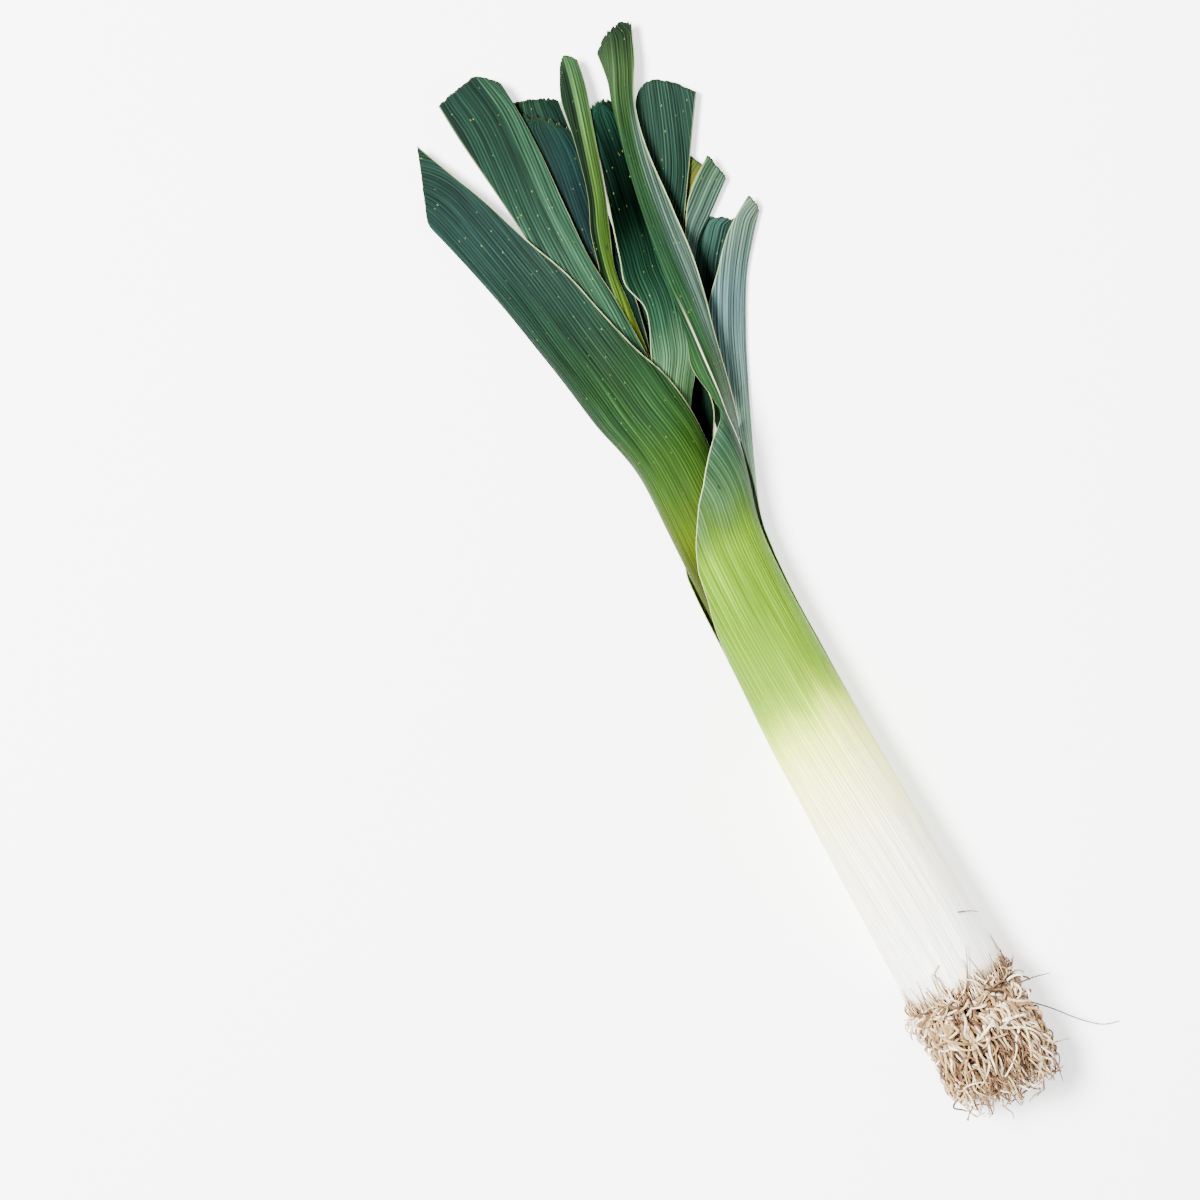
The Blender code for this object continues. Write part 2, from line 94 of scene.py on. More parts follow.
LEAVES["leaf_left"] = dict(
    ring=1.25, keel=180, fold=1.5, turn=(568, 672),
    mouth=((430, 180, 180), (500, 174, 150), (600, 160, 105), (700, 140, 90)),
    sections=(
        ((43, 573, 60), (-39, 570, 44), (8, 570, 4), 28),
        ((44, 603, 64), (-41, 600, 44), (6, 600, 3), 28),
        ((41, 635, 68), (-46, 635, 40), (0, 635, 2), 24),
        ((33, 680, 67), (-53, 680, 34), (-6, 690, 1), 18),
        ((20, 715, 63), (-59, 720, 28), (-10, 735, 0.5), 14),
        ((8, 760, 58), (-67, 765, 22), (-18, 780, 0), 11),
        ((-5, 815, 52), (-76, 815, 17), (-28, 830, 0), 8),
        ((-24, 865, 45), (-86, 860, 13), (-42, 878, 0), 6),
        ((-42, 920, 37), (-97, 903, 10), (-56, 925, 0.5), 4),
        ((-58, 960, 29), (-103, 925, 9), (-66, 950, 1), 3),
        ((-76, 1005, 20), (-103, 934, 8), (-80, 985, 3), 2),
    ),
    columns=96, rows=5, wave=(0.7, 70), ragged=2,
)
LEAVES["leaf_right_low"] = dict(
    ring=-1, keel=-38, fold=1.5, turn=(470, 560),
    mouth=((6, 13, 13), (200, 16, 16), (440, 27, 27), (560, 30, 30)),
    sections=(
        ((36, 500, 6), (52, 495, 16), (52, 500, 34)),
        ((46, 560, 3), (67, 548, 18), (64.5, 560, 33), 2),
        ((56, 610, 0.5), (83, 585, 8), (74, 606, 24), 2),
        ((66, 670, 0), (108, 640, 3), (84, 660, 27), 3),
        ((84, 730, 0), (130, 685, 3), (99, 712, 26), 3),
        ((106, 772, 0), (156, 732, 3), (133, 751, 25), 2),
        ((133, 796, 3.5), (180, 763, 4), (161, 780, 22), 2),
        ((152, 803, 5), (196, 782, 5), (197, 803, 17), 1),
    ),
    columns=60, rows=5, wave=(0.4, 50), ragged=4,
)
LEAVES["leaf_right_curled"] = dict(
    ring=2.1, keel=-45, fold=1.5, turn=(560, 650),
    mouth=((420, 180, 180), (600, 90, 40), (700, 70, 40)),
    sections=(
        ((-20, 562, 14), (24, 560, 10), (42, 558, 42)),
        ((-8, 605, 12), (28, 598, 9), (56, 594, 33)),
        ((4, 655, 10), (46, 632, 8), (64, 628, 30)),
        ((25, 710, 9), (64, 682, 8), (68, 690, 26)),
        ((58, 770, 8), (95, 735, 8), (92, 750, 24)),
        ((92, 815, 7), (124, 781, 8), (120, 797, 22)),
        ((126, 850, 7), (153, 804, 8), (142, 829, 22)),
        ((160, 874, 8), (184, 828, 9), (179, 858, 19)),
    ),
    columns=60, rows=5, wave=(0.5, 60), ragged=3,
)
LEAVES["leaf_centre_right"] = dict(
    INNER, ring=3, keel=60, fold=2,
    mouth=((420, 180, 180), (600, 50, 90), (700, 50, 75)),
    sections=(
        ((40, 602, 46), (22, 602, 68), (-14, 602, 64)),
        ((52, 630, 42), (28, 632, 63), (-3, 630, 64)),
        ((66, 660, 41), (40, 664, 58), (12, 664, 59)),
        ((80, 695, 38), (56, 700, 53), (28, 700, 51)),
        ((91, 740, 34), (70, 745, 47), (47, 745, 44)),
        ((97, 775, 31), (74, 780, 43), (41, 778, 42)),
        ((103, 800, 29), (80, 805, 39), (49, 806, 37)),
        ((109, 845, 26), (89, 850, 35), (63, 852, 31)),
        ((115, 895, 22), (99, 900, 30), (79, 902, 26)),
        ((118, 955, 18), (107, 958, 25), (93, 956, 22)),
    ),
    wave=(0.5, 60), ragged=7,
)
LEAVES["leaf_right_broad"] = dict(
    INNER, ring=4, keel=-60, fold=2,
    mouth=((460, 180, 180), (640, 75, 60), (700, 70, 55)),
    sections=(
        ((-10, 606, 26), (14, 602, 14), (32, 598, 28)),
        ((0, 640, 23), (18, 636, 16), (36, 630, 24)),
        ((18, 700, 21), (38, 688, 15), (56, 676, 21)),
        ((44, 766, 20), (65, 752, 15), (83, 738, 19)),
        ((66, 833, 20), (92, 815, 14), (118, 797, 16)),
        ((104, 891, 17), (131, 873, 12), (156, 855, 14)),
        ((135, 931, 14), (163, 952, 11), (199, 919, 12)),
    ),
    wave=(0.6, 80), ragged=2,
)
LEAVES["leaf_centre_tall"] = dict(
    INNER, ring=5, keel=90, fold=1.3,
    mouth=((470, 180, 180), (640, 80, 80), (700, 75, 75)),
    sections=(
        ((25, 602, 45), (1, 602, 62), (-23, 602, 45)),
        ((24, 650, 43), (2, 650, 52), (-24, 650, 43)),
        ((27, 700, 44), (4, 700, 52), (-18, 700, 44)),
        ((27, 760, 43), (5, 760, 50), (-17, 760, 41)),
        ((23, 820, 41), (3, 820, 46), (-19, 820, 38)),
        ((26, 880, 37), (4, 880, 42), (-25, 880, 33)),
        ((30, 940, 32), (10, 940, 38), (-31, 940, 28)),
        ((30, 990, 28), (13, 990, 34), (-36, 990, 24)),
        ((28, 1020, 24), (7, 1037, 31), (-38, 1030, 20)),
    ),
    wave=(0.4, 60), ragged=2,
)
LEAVES["leaf_centre_young"] = dict(
    INNER, ring=6, keel=60, fold=1.6,
    mouth=((480, 180, 180), (640, 80, 80), (700, 75, 75)),
    sections=(
        ((22, 602, 42), (8, 602, 55), (-14, 602, 47)),
        ((24, 650, 38), (7, 650, 48), (-12, 650, 41)),
        ((29, 700, 36), (14, 700, 45), (-2, 700, 40)),
        ((36, 758, 33), (26, 762, 40), (12, 764, 36)),
        ((41, 800, 34), (33, 803, 41), (26, 806, 34)),
        ((54, 835, 34), (43, 838, 41), (36, 842, 34)),
        ((68, 870, 34), (57, 872, 41), (51, 876, 33)),
        ((86, 925, 30), (74, 927, 38), (65, 930, 31)),
        ((102, 975, 26), (89, 979, 34), (73, 973, 27)),
        ((108, 1004, 22), (97, 1013, 30), (86, 1002, 25)),
    ),
    columns=48, wave=(0.3, 40), ragged=2,
)
LEAVES["leaf_centre_blue"] = dict(
    INNER, ring=7, keel=90, fold=2,
    mouth=((490, 180, 180), (640, 80, 80), (700, 75, 75)),
    sections=(
        ((16, 602, 38), (2, 602, 48), (-13, 602, 39)),
        ((18, 635, 33), (3, 635, 42), (-14, 635, 35)),
        ((22, 670, 31), (4, 670, 38), (-14, 670, 33)),
        ((38, 730, 29), (14, 730, 35), (-8, 730, 31)),
        ((52, 800, 26), (24, 800, 31), (0, 800, 28)),
        ((64, 870, 24), (34, 870, 29), (8, 870, 26)),
        ((70, 920, 22), (42, 920, 27), (16, 920, 24)),
        ((70, 945, 20), (45, 975, 24), (20, 985, 21)),
    ),
    wave=(0.3, 50), ragged=9,
)
LEAVES["leaf_centre_back"] = dict(
    INNER, ring=8, keel=90, fold=2,
    mouth=((500, 180, 180), (640, 80, 80), (700, 75, 75)),
    sections=(
        ((13, 602, 34), (2, 602, 41), (-10, 602, 34)),
        ((18, 645, 29), (4, 645, 35), (-9, 645, 30)),
        ((24, 690, 28), (9, 690, 33), (-8, 690, 29)),
        ((36, 750, 24), (18, 750, 28), (0, 750, 25)),
        ((50, 820, 20), (30, 820, 24), (10, 820, 21)),
        ((62, 900, 17), (42, 900, 21), (20, 900, 18)),
        ((72, 980, 13), (54, 990, 17), (30, 998, 14)),
    ),
    columns=48, rows=6, wave=(0.3, 50), ragged=4,
)

# Colours, in sRGB from 0 to 255, at distances along the leek in units
SHAFT_COLOURS = (
    (0, (150, 125, 95)), (10, (218, 202, 176)), (20, (244, 238, 226)), (38, (250, 249, 244)),
    (150, (250, 247, 222)), (200, (248, 244, 190)), (250, (236, 237, 150)), (282, (218, 228, 112)),
    (310, (172, 196, 62)), (330, (122, 154, 32)), (355, (96, 130, 22)), (430, (82, 117, 14)),
    (495, (82, 117, 13)), (520, (60, 87, 30)), (548, (52, 79, 46)), (590, (32, 55, 39)),
    (640, (29, 53, 27)), (760, (23, 48, 26)), (900, (26, 48, 23)), (970, (38, 57, 28)), (1010, (21, 33, 22)),
)
LEFT_COLOURS = (
    (430, (42, 51, 3)), (480, (41, 50, 3)), (530, (51, 67, 4)), (580, (36, 59, 16)),
    (650, (22, 45, 15)), (740, (14, 32, 18)), (830, (15, 32, 25)), (930, (13, 28, 24)),
    (1005, (14, 29, 21)),
)
# The low right leaf's waxy grey-green, lightened as painted light on a side that faces away from the lamps
# and lies in shadow
BLOOM_AND_PAINTED_LIGHT = (
    (6, (234, 232, 214)), (300, (200, 212, 150)), (450, (130, 160, 100)), (540, (110, 144, 114)),
    (640, (72, 93, 86)), (720, (62, 84, 84)), (800, (74, 93, 73)),
)
BLOOM_INNER = (
    (6, (234, 232, 214)), (300, (200, 212, 150)), (450, (130, 160, 100)), (600, (104, 136, 112)),
    (670, (30, 48, 38)), (740, (16, 32, 28)), (803, (30, 52, 44)),
)
CURL_COLOURS = (
    (420, (170, 190, 110)), (600, (18, 38, 22)), (740, (45, 64, 59)), (800, (55, 75, 66)),
    (860, (44, 68, 43)),
)
CURL_INNER = (
    (420, (160, 184, 96)), (600, (8, 20, 11)), (740, (10, 24, 18)), (800, (30, 42, 22)),
    (840, (84, 86, 30)), (870, (40, 56, 26)),
)
# The ribbed leaf's stops from 735 to 955 are darkened almost to black as painted shade, for the shadow deep
# among the inner leaves
RIBBED_AND_PAINTED_SHADE = (
    (420, (170, 190, 110)), (620, (53, 77, 41)), (690, (52, 78, 54)), (735, (24, 46, 32)),
    (790, (9, 27, 17)), (825, (2, 8, 4)), (850, (1, 4, 2)), (905, (4, 13, 8)), (940, (11, 30, 22)),
    (955, (12, 32, 24)),
)
BROAD_COLOURS = (
    (460, (170, 190, 110)), (640, (14, 36, 19)), (780, (15, 33, 24)), (860, (17, 35, 27)),
    (950, (23, 41, 32)),
)
TALL_COLOURS = (
    (470, (170, 190, 110)), (640, (21, 49, 18)), (740, (34, 58, 34)), (840, (30, 53, 39)),
    (930, (15, 34, 23)), (1037, (9, 24, 18)),
)
YOUNG_COLOURS = (
    (480, (190, 200, 110)), (700, (74, 85, 12)), (780, (55, 78, 22)), (830, (44, 68, 22)),
    (900, (49, 72, 29)), (960, (54, 82, 42)), (1013, (41, 68, 40)),
)
BLUE_COLOURS = (
    (490, (190, 200, 120)), (700, (9, 25, 16)), (850, (6, 20, 19)), (940, (9, 25, 23)),
    (985, (12, 30, 20)),
)
HIDDEN_FACE = (
    (300, (214, 222, 150)), (480, (80, 104, 22)), (600, (30, 54, 20)), (760, (20, 42, 27)),
    (1010, (22, 44, 28)),
)
PALE_MARGIN = (176, 190, 138)
BLOOM_GREY = (32, 52, 46)
SPECK = (128, 148, 62)
SCAR = (26, 36, 18)
CUT_END = (38, 44, 22)

# leaf: outer face, inner face, how strong its bloom of wax and its pale margin are, roughness
LOOKS = {
    "leaf_wrapping": (SHAFT_COLOURS, HIDDEN_FACE, 0.35, 0.85, 0.44),
    "leaf_left": (LEFT_COLOURS, HIDDEN_FACE, 0.25, 0.6, 0.48),
    "leaf_right_low": (BLOOM_AND_PAINTED_LIGHT, BLOOM_INNER, 0.2, 0.3, 0.58),
    "leaf_right_curled": (CURL_COLOURS, CURL_INNER, 0.2, 0.3, 0.52),
    "leaf_centre_right": (RIBBED_AND_PAINTED_SHADE, HIDDEN_FACE, 0.03, 0.6, 0.5),
    "leaf_right_broad": (BROAD_COLOURS, BROAD_COLOURS, 0.2, 0.3, 0.46),
    "leaf_centre_tall": (TALL_COLOURS, HIDDEN_FACE, 0.2, 0.3, 0.5),
    "leaf_centre_young": (YOUNG_COLOURS, HIDDEN_FACE, 0.1, 0.3, 0.40),
    "leaf_centre_blue": (BLUE_COLOURS, HIDDEN_FACE, 0.2, 0.3, 0.48),
    "leaf_centre_back": (BLUE_COLOURS, HIDDEN_FACE, 0.2, 0.3, 0.48),
}

# Bands of another colour on a leaf's outer face: from and to in millimetres from the keel, from and to in
# units along the leek, how soft the sides of the band are, colour, and strength
# All bands but the wrapping leaf's first one are painted light and shade, as said at each
BANDS_AND_PAINTED_LIGHT = {
    "leaf_wrapping": (
        (-40, -6.5, 690, 930, 1.4, (62, 82, 72), 0.75),
        # Painted highlight: a pale line along the keel at the neck, where the fold catches the light
        (-0.35, 0.25, 530, 720, 0.3, (206, 214, 176), 0.8),
    ),
    # Painted light: the half of the fold that faces away from the lamps, lifted to a lighter green
    "leaf_centre_tall": ((-40, -0.3, 640, 1040, 0.3, (32, 56, 40), 0.85),),
    # Painted shade: the half of the fold beyond the keel, darkened almost to black as if in shadow
    "leaf_centre_young": ((0.4, 40, 690, 1020, 0.6, (3, 11, 6), 0.95),),
}

# Bloom and pale margin of every leaf's inner face
INNER_BLOOM = 0.1
INNER_MARGIN = 0.3

# The shader's specular level on a leaf, and the leaves whose outer face shines less than the others'
SHEEN = 0.015
DULLER = {"leaf_centre_right": 0.0}


# Shapes

SHAFT_EASING = (-24, -12, 0, 12, 24)
SPREAD_EASING = (-12, -6, 0, 6, 12)
HUMP = 4  # makes HUMP * t * (1 - t) reach 1 half way to the margin
LOWER_BULGE = 0.25  # bulge of a blade's lower half, as a share of the upper half's

# Distances between the rows of a sheath, below its mouth and along its mouth
SEEN_STEPS = (12, 6)
HIDDEN_STEPS = (40, 12)
LAST_SEEN_RING = 1.5
STRIP_THROAT = 60  # where the second steps start on the leaf that is only a strip on the shaft

OPENING = 200  # from the mouth's start to where the waves have their full height
SLOW_WAVE = 90
RAGGED_REACH = 16
NOTCHES = 9  # notches in half the width of a cut end
SMALL_NOTCHES = 27
SMALL_NOTCH = 0.6
SHEATH_RIM = 30  # millimetres from the margin that a closed sheath counts as
THINNING = 6  # millimetres over which the wall thins towards the margin


def metres(point):
    return Vector((point[0] * UNIT, (point[1] - REST_ALONG) * UNIT, point[2] * UNIT))


def shaft_at(along):
    """Centre across, centre height and radius of the shaft, eased a little between the table's rows."""
    table = np.array(SHAFT, float)
    places = along + np.array(SHAFT_EASING)
    across = float(np.interp(places, table[:, 0], table[:, 1]).mean())
    radius = float(np.interp(places, table[:, 0], table[:, 2]).mean())
    return across, radius * cos(pi / OUTER_SIDES), radius


def spread_at(along):
    table = np.array(SPREAD, float)
    return float(np.interp(along + np.array(SPREAD_EASING), table[:, 0], table[:, 1]).mean())


def smooth_step(share):
    share = min(max(share, 0.0), 1.0)
    return share * share * (3 - 2 * share)


def curve_through(points, share):
    """The point at a share of a Catmull-Rom curve through the points."""
    last = len(points) - 1
    place = min(max(share, 0.0), 1.0) * last
    i = min(int(place), last - 1)
    f = place - i
    p0, p1, p2, p3 = (points[min(max(j, 0), last)] for j in (i - 1, i, i + 1, i + 2))
    squared = (2 * p0 - 5 * p1 + 4 * p2 - p3) * f ** 2
    cubed = (3 * p1 - p0 - 3 * p2 + p3) * f ** 3
    return 0.5 * (2 * p1 + (p2 - p0) * f + squared + cubed)


def sheath_row(leaf, along, ts):
    across, height, radius = shaft_at(along)
    table = np.array(leaf["mouth"], float)
    minus, plus = (np.interp(along, table[:, 0], table[:, i]) for i in (1, 2))
    angle = np.radians(leaf["keel"] + ts * np.where(ts < 0, minus, plus))
    own = radius * (1 - leaf["ring"] * RING_PITCH / NECK_RADIUS)
    sideways = own * np.cos(angle)
    if leaf["ring"] <= 0:
        sideways *= 1 + spread_at(along) * (sideways > 0)
    return np.stack([across + sideways, np.full(len(ts), float(along)), height + own * np.sin(angle)], 1)


def blade_row(leaf, table, share, ts):
    row = curve_through(table, share)
    low, keel, high, bulge = row[0:3], row[3:6], row[6:9], row[9]
    bend = np.abs(ts) ** leaf["fold"]
    points = keel + ts[:, None] * (high - low) / 2 + bend[:, None] * ((high + low) / 2 - keel)
    upper = (high[2] - low[2]) * ts > 0
    swelling = bulge * HUMP * np.abs(ts) * (1 - np.abs(ts))
    points[:, 2] += swelling * np.where(upper, 1, LOWER_BULGE)
    return points, keel[1]


def leaf_points(leaf):
    """The leaf's surface, as an array of rows from foot to tip, each from edge to edge."""
    ts = np.linspace(-1, 1, leaf["columns"] + 1)
    start, end = leaf["turn"]
    throat = leaf["mouth"][0][0] if leaf["ring"] >= 0 else STRIP_THROAT
    below, above = SEEN_STEPS if leaf["ring"] <= LAST_SEEN_RING else HIDDEN_STEPS
    rows = [sheath_row(leaf, along, ts) for along in np.arange(SHEATH_FOOT, throat, below)]
    rows += [sheath_row(leaf, along, ts) for along in np.arange(throat, start, above)]
    table = []
    for low, keel, high, *bulge in leaf["sections"]:
        table.append(np.array([*low, *keel, *high, *(bulge or [0])], float))
    keels = np.array([row[3:6] for row in table])
    length = np.linalg.norm(np.diff(keels, axis=0), axis=1).sum()
    count = round(length / leaf["rows"])
    for i in range(count + 1):
        points, along = blade_row(leaf, table, i / count, ts)
        weight = smooth_step((along - start) / (end - start))
        if weight < 1:
            points = (1 - weight) * sheath_row(leaf, along, ts) + weight * points
        rows.append(points)
    return ts, np.array(rows)


def normals_of(points):
    """Unit normals of a grid of points."""
    normal = np.cross(np.gradient(points, axis=1), np.gradient(points, axis=0))
    return normal / np.maximum(np.linalg.norm(normal, axis=2, keepdims=True), 1e-9)


def soft_noise(x, y, seed):
    return noise.noise(Vector((x, y, seed)))


def roughen(leaf, ts, points, seed):
    """Waves along the margins, slow unevenness of the blade and a ragged cut end."""
    normal = normals_of(points)
    height, length = leaf["wave"]
    rows, columns = points.shape[:2]
    middle = columns // 2
    reach = np.linalg.norm(np.diff(points[:, middle], axis=0), axis=1)
    run = np.concatenate([[0], reach.cumsum()])
    for r in range(rows):
        along = points[r, middle, 1]
        open_part = smooth_step((along - leaf["mouth"][0][0]) / OPENING) if leaf["ring"] >= 0 else 1
        to_tip = run[-1] - run[r]
        for c in range(columns):
            t = ts[c]
            side = 1 if t > 0 else -1
            margin = abs(t) ** 5 * height * 2 * soft_noise(run[r] / length, side * 3.1, seed)
            slow = 0.5 * height * soft_noise(run[r] / SLOW_WAVE, t * 1.7, seed + 9)
            points[r, c] += normal[r, c] * (margin + slow) * open_part
            if to_tip < RAGGED_REACH:
                small = SMALL_NOTCH * abs(soft_noise(t * SMALL_NOTCHES, 2.5, seed + 5))
                notch = abs(soft_noise(t * NOTCHES, 0.5, seed + 5)) + small
                back = points[r, c] - points[max(r - 1, 0), c]
                size = max(np.linalg.norm(back), 1e-6)
                points[r, c] -= back / size * leaf["ragged"] * notch * (1 - to_tip / RAGGED_REACH)
    points[:, :, 2] = np.maximum(points[:, :, 2], 0)
    return points


def smooth_mesh(name, form):
    mesh = bpy.data.meshes.new(name)
    form.to_mesh(mesh)
    form.free()
    mesh.shade_smooth()
    return mesh


def mesh_of_grid(name, points, values, thickness):
    """A mesh of the grid. values are named arrays that the material reads, kept per corner of each face."""
    rows, columns = points.shape[:2]
    grid = bmesh.new()
    bmesh.ops.create_grid(grid, x_segments=columns - 1, y_segments=rows - 1, size=1)
    weights = grid.verts.layers.deform.new()
    place = {}
    for vert in grid.verts:
        c = round((vert.co.x + 1) / 2 * (columns - 1))
        r = round((vert.co.y + 1) / 2 * (rows - 1))
        place[vert.index] = (r, c)
        vert.co = metres(points[r, c])
        vert[weights][0] = float(thickness[r, c])
    layers = {key: grid.loops.layers.float.new(key) for key in values}
    for face in grid.faces:
        for loop in face.loops:
            spot = place[loop.vert.index]
            for key, layer in layers.items():
                loop[layer] = float(values[key][spot])
    bmesh.ops.remove_doubles(grid, verts=grid.verts, dist=1e-6)
    return smooth_mesh(name, grid)


def leaf_values(leaf, ts, points):
    """What the material reads: units along the leek, and millimetres from keel, margin and tip."""
    widths = np.linalg.norm(np.diff(points, axis=1), axis=2)
    half = widths.sum(axis=1) / 2 * MM
    steps = np.linalg.norm(np.diff(points, axis=0), axis=2) * MM
    to_tip = np.concatenate([steps[::-1].cumsum(axis=0)[::-1], np.zeros((1, len(ts)))])
    rim = (1 - np.abs(ts))[None, :] * half[:, None]
    distance = np.concatenate([np.zeros((len(points), 1)), widths.cumsum(axis=1) * MM], axis=1)
    from_keel = distance - distance[:, [len(ts) // 2]]
    if leaf["ring"] >= 0:
        rim[points[:, :, 1] < leaf["mouth"][0][0]] = SHEATH_RIM
    return {"run": points[:, :, 1], "vein": from_keel, "rim": rim, "tip": to_tip}


def outward(mesh):
    """Whether the faces of a leaf's mesh look away from the shaft."""
    face = mesh.polygons[0]
    across, height, _ = shaft_at(SHEATH_FOOT)
    away = face.center - metres((across, SHEATH_FOOT, height))
    return face.normal.dot(Vector((away.x, 0, away.z))) > 0


def new_object(name, mesh):
    obj = bpy.data.objects.new(name, mesh)
    bpy.context.scene.collection.objects.link(obj)
    return obj


def stand_for(piece, node):
    """The piece rides on the leek's body and replaces the node, which is hidden."""
    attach(piece, "root")
    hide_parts(node)


def leaf_piece(name, leaf, seed):
    ts, points = leaf_points(leaf)
    points = roughen(leaf, ts, points, seed)
    values = leaf_values(leaf, ts, points)
    thickness = np.clip(values["rim"] / THINNING, 0.0, 1.0)
    mesh = mesh_of_grid(name + "_fine", points, values, thickness)
    obj = new_object(name + "_fine", mesh)
    obj.vertex_groups.new(name="thick")
    wall = obj.modifiers.new("wall", "SOLIDIFY")
    wall.thickness = WALL
    wall.offset = -1 if outward(mesh) else 1
    wall.vertex_group = "thick"
    wall.thickness_vertex_group = MARGIN_WALL
    wall.material_offset = 1
    wall.material_offset_rim = 2
    outer, inner, bloom, margin, rough = LOOKS[name]
    bands = BANDS_AND_PAINTED_LIGHT.get(name, ())
    sheen = DULLER.get(name, SHEEN)
    inner_face = leaf_material(name + "_inner", inner, INNER_BLOOM, INNER_MARGIN, rough, seed + 31)
    outer_face = leaf_material(name + "_outer", outer, bloom, margin, rough, seed, bands, sheen)
    for material in (inner_face, outer_face, flesh):
        mesh.materials.append(material)
    stand_for(obj, name)


# Materials


def linear(colour):
    shares = [c / 255 for c in colour]
    return tuple(s / 12.92 if s <= 0.04045 else ((s + 0.055) / 1.055) ** 2.4 for s in shares) + (1.0,)


class Tree:
    """Short names for the nodes of one material."""

    def __init__(self, name):
        self.material = bpy.data.materials.new(name)
        self.material.use_nodes = True
        self.nodes = self.material.node_tree.nodes
        self.links = self.material.node_tree.links
        self.shader = self.nodes["Principled BSDF"]

    def put(self, socket, value):
        if isinstance(value, bpy.types.NodeSocket):
            self.links.new(value, socket)
        elif value is not None:
            socket.default_value = value

    def new(self, kind, *values):
        """A node whose first inputs have the values or are linked to them."""
        node = self.nodes.new("ShaderNode" + kind)
        for socket, value in zip(node.inputs, values):
            self.put(socket, value)
        return node

    def attribute(self, name):
        node = self.new("Attribute")
        node.attribute_name = name
        return node.outputs["Fac"]

    def math(self, operation, a, b=None):
        node = self.new("Math", a, b)
        node.operation = operation
        return node.outputs[0]

    def add(self, first, *others):
        for other in others:
            first = self.math("ADD", first, other)
        return first

    def multiply(self, first, *others):
        for other in others:
            first = self.math("MULTIPLY", first, other)
        return first

    def vector(self, x, y, z):
        return self.new("CombineXYZ", x, y, z).outputs[0]

    def times(self, colour, gain):
        node = self.new("VectorMath", colour)
        node.operation = "SCALE"
        self.put(node.inputs["Scale"], gain)
        return node.outputs[0]

    def position(self):
        return self.new("TexCoord").outputs["Object"]

    def noise(self, vector, scale, detail=2.0, rough=0.5):
        node = self.new("TexNoise", vector)
        node.inputs["Scale"].default_value = scale
        node.inputs["Detail"].default_value = detail
        node.inputs["Roughness"].default_value = rough
        return node.outputs["Fac"]

    def spots(self, vector, scale):
        node = self.new("TexVoronoi", vector)
        node.inputs["Scale"].default_value = scale
        return node.outputs["Distance"], node.outputs["Color"]

    def fit(self, value, low, high, to_low=0.0, to_high=1.0, smooth=True):
        node = self.new("MapRange", value, low, high, to_low, to_high)
        node.interpolation_type = "SMOOTHSTEP" if smooth else "LINEAR"
        return node.outputs[0]

    def swing(self, value, reach):
        """A noise as a number from -reach to reach."""
        return self.fit(value, 0.25, 0.75, -reach, reach, smooth=False)

    def ramp(self, value, stops):
        """The colour at value. stops are (place, sRGB colour)."""
        node = self.new("ValToRGB", value)
        elements = node.color_ramp.elements
        for element, (place, colour) in zip(elements, (stops[0], stops[-1])):
            element.position = place
            element.color = linear(colour)
        for place, colour in stops[1:-1]:
            elements.new(place).color = linear(colour)
        return node.outputs["Color"]

    def mix(self, factor, a, b):
        node = self.new("Mix")
        node.data_type = "RGBA"
        self.put(node.inputs["Factor"], factor)
        self.put(node.inputs[6], a)
        self.put(node.inputs[7], b)
        return node.outputs[2]

    def paint(self, factor, under, colour):
        """An sRGB colour laid over what is under it."""
        return self.mix(factor, under, linear(colour))

    def bump(self, height, strength, distance):
        node = self.new("Bump")
        node.inputs["Strength"].default_value = strength
        node.inputs["Distance"].default_value = distance
        self.put(node.inputs["Height"], height)
        self.put(self.shader.inputs["Normal"], node.outputs[0])

    def finish(self, colour, roughness):
        self.put(self.shader.inputs["Base Color"], colour)
        self.put(self.shader.inputs["Roughness"], roughness)
        return self.material


RUN_SPAN = 1100.0  # units covered by a leaf's colour ramp
VEIN_PITCH = 1.4  # millimetres from rib to rib
VEIN_SWAY = 1.6  # radians that a rib is off its place
SLOW_SHIFT = 12  # units that a change of colour moves along the leaf, in patches
STREAK_SHIFT = 15  # and from vein to vein

# Noises drawn out along the veins: scale per millimetre across, per unit along, own seed, roughness
SLOW_NOISE = (0.06, 0.006, 0, 0.5)
BROAD_NOISE = (0.30, 0.0035, 3, 0.5)
STREAK_NOISE = (1.2, 0.005, 5, 0.6)
FINE_NOISE = (2.1, 0.010, 7, 0.6)

# Between which distances along the leek a change sets in
GREENING = (260, 520)
SHIFTING = (20, 150)
RIBBING = (520, 640)
BLOOMING = (500, 560)
SPECKLING = (540, 620)
BAND_FADE = 30

# Darkest and lightest gain of the veins
BROAD_GAIN = (0.88, 1.12)
STREAK_GAIN = (0.72, 1.3)
FINE_GAIN = (0.6, 1.44)
WAVE_GAIN = (0.66, 1.34)

# Specks and scars: cells per millimetre, stretch, outer and inner rim in the cell, cells without, strength
SPECKS = (0.8, 0.15, 0.17, 0.05, 0.70, 0.7)
SCARS = (0.12, 0.22, 0.10, 0.04, 0.6, 0.7)

# Millimetres from the edge at which the pale margin and the dark cut end are full and have gone
MARGIN_REACH = (0.12, 0.5)
CUT_REACH = (0.3, 1.0)
CUT_STRENGTH = 0.7

# Heights of the ribs, the streaks and the fine veins, and the depth in metres of a height of 1
RIB_HEIGHT = 0.4
STREAK_HEIGHT = 2.0
FINE_HEIGHT = 1.2
RELIEF = 0.00022


